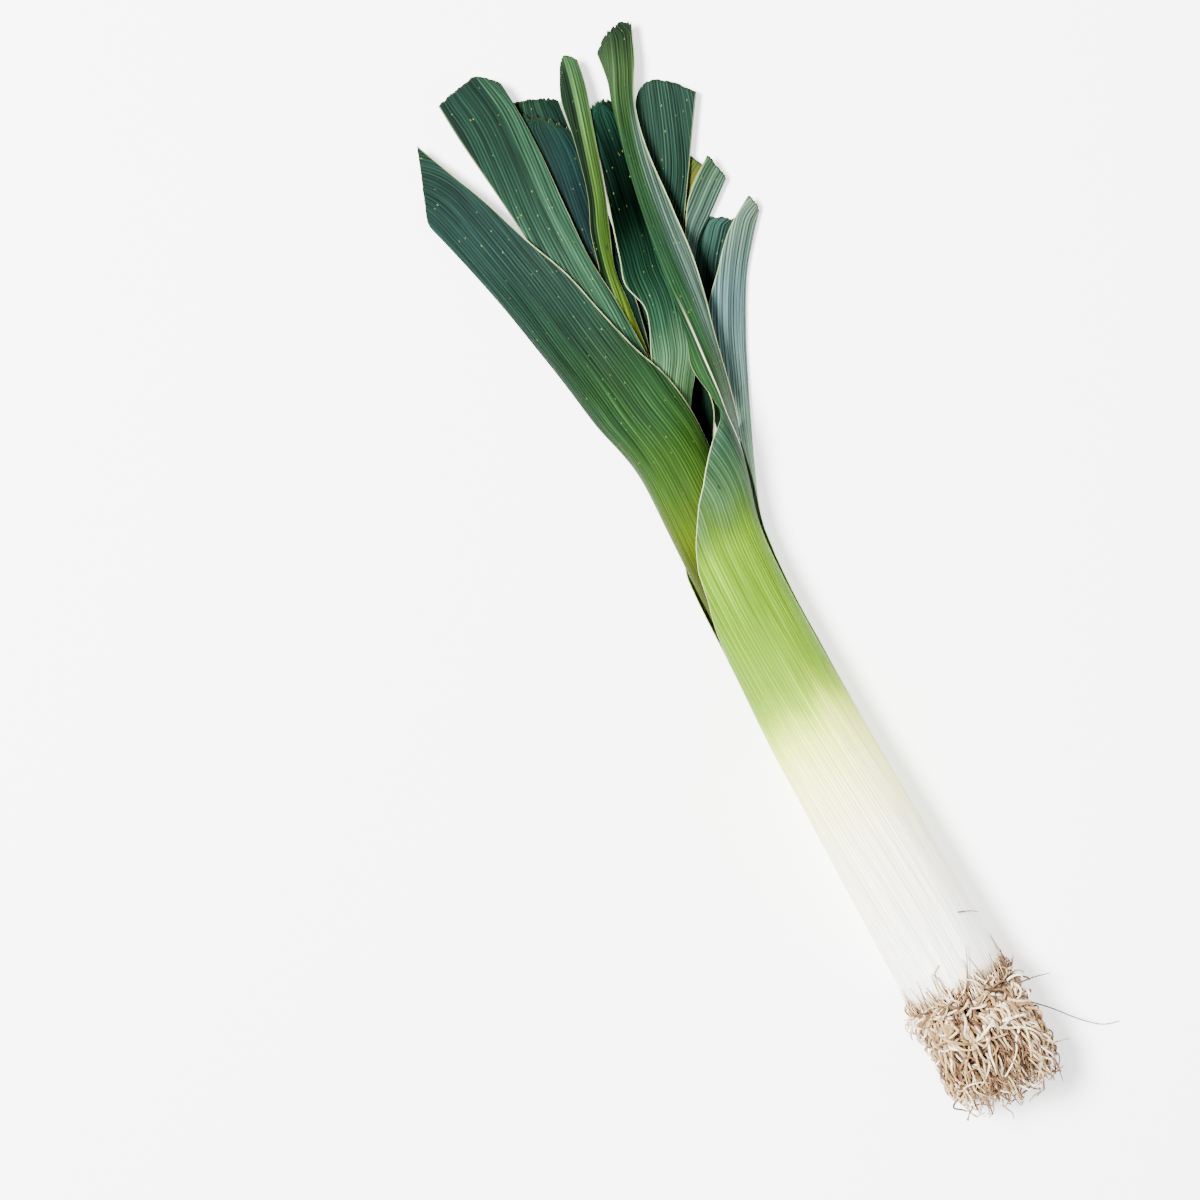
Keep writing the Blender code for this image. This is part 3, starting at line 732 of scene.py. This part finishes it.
class LeafFace(Tree):
    """One face of a leaf. run is in units along the leek; vein, rim and tip are in millimetres."""

    def __init__(self, name, seed):
        super().__init__(name)
        self.seed = seed
        self.run = self.attribute("run")
        self.vein = self.attribute("vein")
        self.rim = self.attribute("rim")
        self.tip = self.attribute("tip")
        self.green = self.fit(self.run, *GREENING)
        self.slow = self.along_veins(*SLOW_NOISE)
        self.broad = self.along_veins(*BROAD_NOISE)
        self.streak = self.along_veins(*STREAK_NOISE)
        self.fine = self.along_veins(*FINE_NOISE)
        phase = self.multiply(self.vein, 2 * pi / VEIN_PITCH)
        self.wave = self.math("SINE", self.add(phase, self.swing(self.streak, VEIN_SWAY)))
        self.cloud = self.noise(self.position(), 34.0, 4.0, 0.62)

    def along_veins(self, across, along, own_seed, rough):
        x = self.multiply(self.vein, across)
        y = self.multiply(self.run, along)
        return self.noise(self.vector(x, y, self.seed + own_seed), 1.0, 2.0, rough)

    def green_of(self, stops):
        """The colours along the leaf. Where one passes into the next differs from vein to vein."""
        shift = self.add(self.swing(self.slow, SLOW_SHIFT), self.swing(self.streak, STREAK_SHIFT))
        shift = self.multiply(shift, self.fit(self.run, *SHIFTING, 0.2, 1.0))
        place = self.math("DIVIDE", self.add(self.run, shift), RUN_SPAN)
        return self.ramp(place, [(along / RUN_SPAN, rgb) for along, rgb in stops])

    def banded(self, colour, band):
        first, last, low, high, soft, rgb, share = band
        left = self.fit(self.vein, first - soft, first + soft)
        right = self.fit(self.vein, last - soft, last + soft, 1, 0)
        foot = self.fit(self.run, low - BAND_FADE, low + BAND_FADE)
        top = self.fit(self.run, high - BAND_FADE, high + BAND_FADE, 1, 0)
        inside = self.multiply(left, right)
        return self.paint(self.multiply(inside, self.multiply(foot, top), share), colour, rgb)

    def ribbed(self, colour):
        """Bands, streaks and fine parallel veins, stronger where the leaf is green."""
        ribs = self.multiply(
            self.fit(self.broad, 0.3, 0.7, *BROAD_GAIN),
            self.fit(self.streak, 0.32, 0.68, *STREAK_GAIN),
            self.fit(self.fine, 0.34, 0.66, *FINE_GAIN),
            self.fit(self.wave, -1, 1, *WAVE_GAIN),
        )
        strength = self.add(self.fit(self.green, 0, 1, 0.42, 0.7), self.fit(self.run, *RIBBING, 0, 0.5))
        gain = self.add(1.0, self.multiply(self.math("SUBTRACT", ribs, 1.0), strength))
        return self.times(colour, gain)

    def bloomed(self, colour, bloom):
        """Bluish bloom of wax in patches."""
        patches = self.fit(self.cloud, 0.40, 0.66, 0, bloom * 0.5)
        return self.paint(self.multiply(patches, self.fit(self.run, *BLOOMING)), colour, BLOOM_GREY)

    def spotted(self, kind, own_seed):
        """How strong a spot is, and which spots there are."""
        cells, stretch, outer, inner, without, strength = kind
        place = self.vector(self.vein, self.multiply(self.run, stretch), self.seed + own_seed)
        distance, cell = self.spots(place, cells)
        return self.fit(distance, outer, inner, 0, strength), self.math("GREATER_THAN", cell, without)

    def specked(self, colour):
        """Pale specks on the blade, in patches."""
        speck, chosen = self.spotted(SPECKS, 0)
        chosen = self.multiply(chosen, self.fit(self.slow, 0.38, 0.6, 0.25, 1.0))
        speck = self.multiply(speck, chosen)
        return self.paint(self.multiply(speck, self.fit(self.run, *SPECKLING)), colour, SPECK)

    def scarred(self, colour):
        """Small dark scars where the leaf is green."""
        scar, chosen = self.spotted(SCARS, 40)
        return self.paint(self.multiply(scar, chosen, self.green), colour, SCAR)

    def edged(self, colour, margin):
        """A pale margin and a dark cut end."""
        colour = self.paint(self.fit(self.rim, *MARGIN_REACH, margin, 0), colour, PALE_MARGIN)
        return self.paint(self.fit(self.tip, *CUT_REACH, CUT_STRENGTH, 0), colour, CUT_END)

    def relief(self):
        height = self.add(self.multiply(self.wave, RIB_HEIGHT), self.multiply(self.streak, STREAK_HEIGHT))
        self.bump(self.add(height, self.multiply(self.fine, FINE_HEIGHT)), 0.5, RELIEF)


def leaf_material(name, stops, bloom, margin, rough, seed, bands=(), sheen=SHEEN):
    """The material of one face of a leaf."""
    face = LeafFace(name, seed)
    colour = face.green_of(stops)
    for band in bands:
        colour = face.banded(colour, band)
    colour = face.ribbed(colour)
    colour = face.bloomed(colour, bloom)
    colour = face.specked(colour)
    colour = face.scarred(colour)
    colour = face.edged(colour, margin)
    face.relief()
    face.shader.inputs["Specular IOR Level"].default_value = sheen
    return face.finish(colour, face.fit(face.cloud, 0.3, 0.7, rough - 0.06, rough + 0.1))


def flesh_material():
    """The cut through a leaf, white in the shaft and green above it."""
    tree = Tree("leek_flesh")
    grain = tree.noise(tree.position(), 900.0, 2.0)
    green = tree.ramp(grain, [(0.3, (96, 122, 52)), (0.7, (150, 172, 98))])
    white = tree.ramp(grain, [(0.3, (226, 226, 204)), (0.7, (244, 243, 230))])
    colour = tree.mix(tree.fit(tree.attribute("run"), 290, 460), white, green)
    tree.bump(grain, 0.2, 0.0001)
    return tree.finish(colour, 0.5)


def root_material():
    """A root's colour by its own tone, with soil on it, more near its foot; its darkest tones are partly
    painted shade.
    """
    tree = Tree("leek_root")
    share = tree.attribute("share")
    tone = tree.attribute("tone")
    grain = tree.noise(tree.position(), 420.0, 4.0, 0.65)
    patch = tree.noise(tree.position(), 110.0, 3.0, 0.6)
    # The dark end of this ramp is deepened as painted shade for the gaps between the roots; the rest is each
    # root's own tone
    colour = tree.ramp(tone, [
        (0.0, (42, 24, 12)), (0.3, (104, 70, 38)), (0.6, (182, 148, 98)), (1.0, (252, 238, 208)),
    ])
    soil = tree.multiply(tree.fit(patch, 0.46, 0.66, 0, 0.75), tree.fit(share, 0.0, 0.7, 1.0, 0.55))
    colour = tree.paint(soil, colour, (74, 44, 22))
    colour = tree.paint(tree.fit(grain, 0.48, 0.72, 0, 0.4), colour, (96, 62, 34))
    tree.bump(grain, 0.5, 0.0002)
    return tree.finish(colour, 0.7)


def crust_and_gap_shade_material():
    """The soil-stained root plate and the core of the tuft, darkened further as painted shade for the deep
    gaps between the roots.
    """
    tree = Tree("leek_crust_and_gap_shade")
    grain = tree.noise(tree.position(), 500.0, 5.0, 0.7)
    patch = tree.noise(tree.position(), 90.0, 3.0, 0.6)
    colour = tree.ramp(grain, [(0.3, (26, 15, 8)), (0.5, (54, 34, 19)), (0.7, (100, 70, 42))])
    colour = tree.paint(tree.fit(patch, 0.45, 0.65, 0, 0.4), colour, (92, 64, 38))
    tree.bump(grain, 0.9, 0.0006)
    return tree.finish(colour, 0.85)


def heart_material():
    tree = Tree("leek_heart")
    grain = tree.noise(tree.position(), 300.0, 3.0)
    colour = tree.ramp(grain, [(0.35, (214, 220, 150)), (0.65, (232, 234, 186))])
    tree.bump(grain, 0.3, 0.0002)
    return tree.finish(colour, 0.45)


# Roots

ROOT_SEED = 11
ROOT_COUNT = 520
CURL_COUNT = 150
RISING_COUNT = 150
END_COUNT = 170
FIBRE_COUNT = 420
ROOT_SIDES = 5
ROOT_TAPER = 0.45  # thickness at a root's end, as a share of that at its start

# How a root grows: its steps, how fast its wandering changes, its up and down, how hard it turns back from
# the tuft's outside and away from the shaft, and how much of its heading is left at the tuft's end
ROOT_STEP = 3.4
WANDER_STEP = 0.16
RISE_AND_FALL = 0.5
TURN_BACK = 0.5
TURN_OUT = 0.8
END_FLATNESS = 0.2

# How wide the tuft is: (along, radius), and where the roots end
TUFT_WIDTH = ((30, 57), (0, 56), (-8, 53), (-20, 52), (-50, 57), (-80, 60), (-104, 57), (-124, 50))
TUFT_END = -118
END_SPREAD = 8
SHAFT_FOOT = -3
SHAFT_CLEARANCE = 54.5  # radius round the shaft that roots above SHAFT_FOOT keep out of
TABLE_GAP = 0.2

# How far from the shaft's middle line the roots start
PLATE_RADIUS = 46
CURL_RADIUS = 47
RISING_RADIUS = 49
END_RADIUS = 38

FIBRE_FOOT = 6  # how far below the shaft's foot the fibres start
FIBRE_POINTS = 5
FIBRE_TAPER = 0.3
STRAY_TAPER = 0.4

# Stray roots and hairs: points (across, along, up) and thickness in units, and how pale they are
STRAYS = (
    (((44, -16, 78), (58, -20, 66), (72, -24, 52), (88, -30, 40)), 2.0, 0.16),
    (((52, -38, 66), (72, -60, 44), (92, -86, 22), (112, -106, 6), (130, -112, 3)), 1.6, 0.08),
    (((-18, -108, 60), (-16, -124, 44), (-11, -138, 26), (-12, -146, 18)), 2.2, 0.7),
    (((2, -4, 103), (9, 12, 108), (17, 28, 107), (24, 43, 104)), 1.6, 0.25),
    (((-12, 2, 103), (-15, 15, 106), (-15, 26, 107), (-19, 36, 106)), 1.5, 0.2),
    (((33, 75, 95), (40, 72, 92), (47, 68, 86), (53, 63, 80)), 1.3, 0.05),
    (((48, -6, 72), (52, 0, 74), (55, 5, 78)), 1.6, 0.1),
    (((50, -100, 40), (52, -118, 24), (50, -138, 10)), 1.6, 0.1),
    (((-6, 0, 104), (4, 8, 107), (12, 22, 107), (14, 34, 106)), 2.2, 0.85),
    (((26, 0, 98), (20, 10, 104), (18, 18, 106)), 2.4, 0.95),
)
STRAY_POINTS = 15

CORE_RADIUS = 44
CORE_REACH = 46
CORE_MIDDLE = -54

# The root plate's outline: (radius, along)
PLATE_PROFILE = (
    (10, 5.2), (30, 5.2), (47, 5.0), (51, 2.5), (50, -2), (46, -7), (38, -12), (28, -17), (14, -20),
)
PLATE_SIDES = 96
PLATE_ROUGHNESS = 0.03


def tube(mesh, layers, points, radii, tone):
    """Adds a closed tube along the points to the mesh."""
    sides = ROOT_SIDES
    rings = []
    for i, point in enumerate(points):
        ahead = points[min(i + 1, len(points) - 1)] - points[max(i - 1, 0)]
        ahead.normalize()
        side = ahead.cross(Vector((0.13, 0.21, 0.97)))
        side.normalize()
        up = side.cross(ahead)
        ring = []
        for k in range(sides):
            angle = 2 * pi * k / sides
            ring.append(mesh.verts.new(point + radii[i] * (side * cos(angle) + up * sin(angle))))
        rings.append(ring)
    share_layer, tone_layer = layers
    last = len(rings) - 1
    for i, (ring, following) in enumerate(zip(rings, rings[1:])):
        for k in range(sides):
            beside = (k + 1) % sides
            face = mesh.faces.new((ring[k], ring[beside], following[beside], following[k]))
            face.smooth = True
            for loop, share in zip(face.loops, (i, i, i + 1, i + 1)):
                loop[share_layer] = share / last
                loop[tone_layer] = tone
    for ring, share in ((rings[0][::-1], 0.0), (rings[-1], 1.0)):
        face = mesh.faces.new(ring)
        for loop in face.loops:
            loop[share_layer] = share
            loop[tone_layer] = tone


class Tuft:
    """The mesh of all the roots, and the random draws that place them."""

    def __init__(self):
        self.mesh = bmesh.new()
        self.layers = (self.mesh.loops.layers.float.new("share"), self.mesh.loops.layers.float.new("tone"))
        self.draw = random.Random(ROOT_SEED)
        self.across, self.height, self.radius = shaft_at(0)

    def add(self, points, thick, tone, taper=ROOT_TAPER):
        """Adds a root. Points and thickness are in units."""
        last = max(len(points) - 1, 1)
        radii = [thick / 2 * UNIT * (1 - (1 - taper) * (i / last) ** 1.5) for i in range(len(points))]
        tube(self.mesh, self.layers, [metres(p) for p in points], radii, tone)

    def around(self, angle, radial, along):
        """A point at an angle round the shaft's middle line."""
        return (self.across + radial * cos(angle), along, self.height + radial * sin(angle))

    def grown(self, start, heading, length, wander, pull, radius):
        """A root's points: it wanders, bends down the tuft, and stays inside it and above the table."""
        draw = self.draw
        point = Vector(start)
        heading = Vector(heading).normalized()
        seed = draw.uniform(0, 100)
        points = [point.copy()]
        for i in range(round(length / ROOT_STEP)):
            x = i * WANDER_STEP
            rise = RISE_AND_FALL * noise.noise((x, seed, 7))
            drift = Vector((noise.noise((x, seed, 0)), rise, noise.noise((x, seed, 14))))
            heading += drift * wander + Vector((0, -1, 0)) * pull
            side = Vector((point.x - self.across, 0, point.z - self.height))
            if side.length > tuft_radius(point.y) - radius:
                heading -= side.normalized() * TURN_BACK
            if point.y > SHAFT_FOOT and side.length < SHAFT_CLEARANCE:
                heading += side.normalized() * TURN_OUT
            heading.normalize()
            point = point + heading * ROOT_STEP
            if point.y < TUFT_END + draw.uniform(-END_SPREAD, END_SPREAD):
                heading.y = abs(heading.y) * END_FLATNESS
            point.z = max(point.z, radius + TABLE_GAP)
            points.append(point.copy())
        return points

    def long_root(self):
        """A root from the plate, most of them from its rim, that runs down the tuft."""
        draw = self.draw
        share = 1 - 0.75 * draw.random() ** 2.2
        angle = draw.uniform(0, 2 * pi)
        start = self.around(angle, PLATE_RADIUS * share, -4 - 15 * (1 - share) - draw.uniform(0, 10))
        heading = (cos(angle) * share, -0.8, sin(angle) * share)
        thick = draw.uniform(2.2, 3.7)
        length = draw.uniform(78, 128)
        wander = draw.uniform(0.25, 0.7)
        points = self.grown(start, heading, length, wander, pull=0.10, radius=thick / 2)
        self.add(points, thick, tone=draw.random())

    def curl(self):
        """A short pale root that curls on the outside of the tuft."""
        draw = self.draw
        angle = draw.uniform(0, 2 * pi)
        start = self.around(angle, CURL_RADIUS, -draw.uniform(2, 44))
        heading = (cos(angle), draw.uniform(-1.2, 1.0), sin(angle))
        thick = draw.uniform(2.4, 3.8)
        length = draw.uniform(24, 64)
        points = self.grown(start, heading, length, wander=1.2, pull=0.12, radius=thick / 2)
        self.add(points, thick, tone=draw.uniform(0.4, 1.0))

    def rising_root(self):
        """A short root that stands up round the foot of the shaft."""
        draw = self.draw
        angle = draw.uniform(0, 2 * pi)
        start = self.around(angle, RISING_RADIUS, -draw.uniform(3, 12))
        heading = (cos(angle), draw.uniform(0.4, 1.6), sin(angle))
        thick = draw.uniform(1.6, 3.4)
        length = draw.uniform(14, 40)
        pull = draw.uniform(-0.05, 0.2)
        points = self.grown(start, heading, length, wander=1.1, pull=pull, radius=thick / 2)
        self.add(points, thick, tone=draw.random())

    def end_root(self):
        """A root that curls at the far end of the tuft."""
        draw = self.draw
        angle = draw.uniform(0, 2 * pi)
        radial = END_RADIUS * sqrt(draw.random())
        start = self.around(angle, radial, -80 + 0.2 * radial)
        out = cos(angle) * draw.uniform(-0.5, 1.0)
        up = sin(angle) * draw.uniform(-0.5, 1.0)
        thick = draw.uniform(2.0, 3.4)
        length = draw.uniform(36, 76)
        points = self.grown(start, (out, -1.0, up), length, wander=1.0, pull=0.04, radius=thick / 2)
        self.add(points, thick, tone=draw.uniform(0.15, 1.0))

    def fibre(self, i):
        """A fine hair or torn fibre at the foot of the shaft. Every eighth is a long one."""
        draw = self.draw
        angle = draw.uniform(0, 2 * pi)
        out = self.radius + draw.uniform(-2.0, 1.2)
        length = draw.uniform(4, 20) if i % 8 else draw.uniform(18, 38)
        lean = draw.uniform(-0.16, 0.16)
        points = []
        for k in range(FIBRE_POINTS):
            f = k / (FIBRE_POINTS - 1)
            lift = 0.8 + 1.2 * f * draw.random()
            x, y, z = self.around(angle + lean * f, out + lift, -FIBRE_FOOT + (length + FIBRE_FOOT) * f)
            points.append(Vector((x, y, max(z, 0.8))))
        thick = draw.uniform(0.7, 2.0)
        self.add(points, thick, draw.uniform(0.0, 1.0), FIBRE_TAPER)

    def stray(self, route, thick, tone):
        table = [np.array(point, float) for point in route]
        shares = [k / (STRAY_POINTS - 1) for k in range(STRAY_POINTS)]
        self.add([Vector(curve_through(table, share)) for share in shares], thick, tone, STRAY_TAPER)


def tuft_radius(along):
    table = np.array(TUFT_WIDTH[::-1], float)
    return float(np.interp(along, table[:, 0], table[:, 1]))


def root_mesh():
    """Hundreds of thin curly roots, the fine hairs at the foot of the shaft, and the few that stray."""
    tuft = Tuft()
    kinds = (tuft.long_root, tuft.curl, tuft.rising_root, tuft.end_root)
    for grow, count in zip(kinds, (ROOT_COUNT, CURL_COUNT, RISING_COUNT, END_COUNT)):
        for i in range(count):
            grow()
    tuft.draw = random.Random(ROOT_SEED + 1)
    for i in range(FIBRE_COUNT):
        tuft.fibre(i)
    for route, thick, tone in STRAYS:
        tuft.stray(route, thick, tone)
    data = bpy.data.meshes.new("roots_fine")
    tuft.mesh.to_mesh(data)
    tuft.mesh.free()
    return data


def core_mesh():
    """A lumpy core that the roots stand out of."""
    core = bmesh.new()
    bmesh.ops.create_uvsphere(core, u_segments=40, v_segments=28, radius=1)
    across, height, _ = shaft_at(0)
    for vert in core.verts:
        bulge = 1 + 0.10 * noise.noise(vert.co * 4.0) + 0.05 * noise.noise(vert.co * 11.0)
        spot = Vector((vert.co.x * CORE_RADIUS, vert.co.z * CORE_REACH, vert.co.y * CORE_RADIUS)) * bulge
        vert.co = metres((across + spot.x, CORE_MIDDLE + spot.y, max(height + spot.z, 1.5)))
    bmesh.ops.recalc_face_normals(core, faces=core.faces)
    return smooth_mesh("tuft_core", core)


def plate_mesh():
    """The root plate, a turned form with a rough surface."""
    across, height, _ = shaft_at(0)
    mesh = bmesh.new()
    rings = []
    for radius, along in PLATE_PROFILE:
        ring = []
        for k in range(PLATE_SIDES):
            angle = 2 * pi * k / PLATE_SIDES
            spot = Vector((cos(angle) * radius, along, sin(angle) * radius))
            coarse, fine = noise.noise(spot * 0.14), noise.noise(spot * 0.5)
            lump = 1 + PLATE_ROUGHNESS * coarse + PLATE_ROUGHNESS * 0.5 * fine
            x, z = across + spot.x * lump, max(height + spot.z * lump, 0.4)
            ring.append(mesh.verts.new(metres((x, along, z))))
        rings.append(ring)
    for a, b in zip(rings, rings[1:]):
        for k in range(PLATE_SIDES):
            beside = (k + 1) % PLATE_SIDES
            mesh.faces.new((a[k], a[beside], b[beside], b[k]))
    mesh.faces.new(rings[0])
    mesh.faces.new(rings[-1][::-1])
    bmesh.ops.recalc_face_normals(mesh, faces=mesh.faces)
    return smooth_mesh("root_plate_fine", mesh)


# Building it

flesh = flesh_material()
for number, (leaf_name, leaf) in enumerate(LEAVES.items()):
    leaf_piece(leaf_name, leaf, 3.7 * number + 1.3)

roots_piece = new_object("roots_fine", root_mesh())
roots_piece.data.materials.append(root_material())
stand_for(roots_piece, "roots")

crust_and_gap_shade = crust_and_gap_shade_material()
core_piece = new_object("roots_core", core_mesh())
core_piece.data.materials.append(crust_and_gap_shade)
stand_for(core_piece, "roots")

plate_piece = new_object("root_plate_fine", plate_mesh())
plate_piece.data.materials.append(crust_and_gap_shade)
stand_for(plate_piece, "root_plate")

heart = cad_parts["leaf_heart"]
for slot in heart.material_slots:
    slot.material = heart_material()

# Floor, lights and camera

HALF_FLOOR = 6.0
FLOOR_LEVEL = -0.0002
FLOOR_COLOUR = (252, 252, 252)
FLOOR_GLOW = 1.4
WHITE = (1.0, 1.0, 1.0, 1.0)

corners = [(x * HALF_FLOOR, y * HALF_FLOOR, FLOOR_LEVEL) for x, y in ((-1, -1), (1, -1), (1, 1), (-1, 1))]
floor_mesh = bpy.data.meshes.new("floor")
floor_mesh.from_pydata(corners, [], [(0, 1, 2, 3)])
floor = new_object("floor", floor_mesh)
floor_tree = Tree("floor")
floor_tree.shader.inputs["Emission Color"].default_value = WHITE
floor_tree.shader.inputs["Emission Strength"].default_value = FLOOR_GLOW
floor_mesh.materials.append(floor_tree.finish(linear(FLOOR_COLOUR), 0.8))

IMAGE_RIGHT = Vector((0.880, -0.475, 0)).normalized()
IMAGE_UP = Vector((0.475, 0.880, 0)).normalized()
IMAGE_CENTRE = metres((-130.9, 513.2, 48))
CAMERA_DISTANCE = 1.4
LENS = 100.0
SENSOR = 36.0

camera_data = bpy.data.cameras.new("camera")
camera_data.lens = LENS
camera_data.sensor_width = SENSOR
camera = new_object("camera", camera_data)
camera.matrix_world = Matrix((
    (IMAGE_RIGHT.x, IMAGE_UP.x, 0, IMAGE_CENTRE.x),
    (IMAGE_RIGHT.y, IMAGE_UP.y, 0, IMAGE_CENTRE.y),
    (0, 0, 1, IMAGE_CENTRE.z + CAMERA_DISTANCE),
    (0, 0, 0, 1),
))
bpy.context.scene.camera = camera

LIT_POINT = (0.0, 0.1, 0.0)
SKY_STRENGTH = 0.5


def area_light(name, place, size, watts):
    data = bpy.data.lights.new(name, "AREA")
    data.shape = "DISK"
    data.size = size
    data.energy = watts
    obj = new_object(name, data)
    obj.location = place
    obj.rotation_euler = (Vector(LIT_POINT) - Vector(place)).to_track_quat("-Z", "Y").to_euler()


area_light("key", (-0.7, 0.7, 1.8), 0.6, 250.0)
area_light("fill", (1.1, -0.3, 1.4), 1.6, 15.0)

world = bpy.data.worlds.new("world")
world.use_nodes = True
background = world.node_tree.nodes["Background"]
background.inputs["Color"].default_value = WHITE
background.inputs["Strength"].default_value = SKY_STRENGTH
bpy.context.scene.world = world
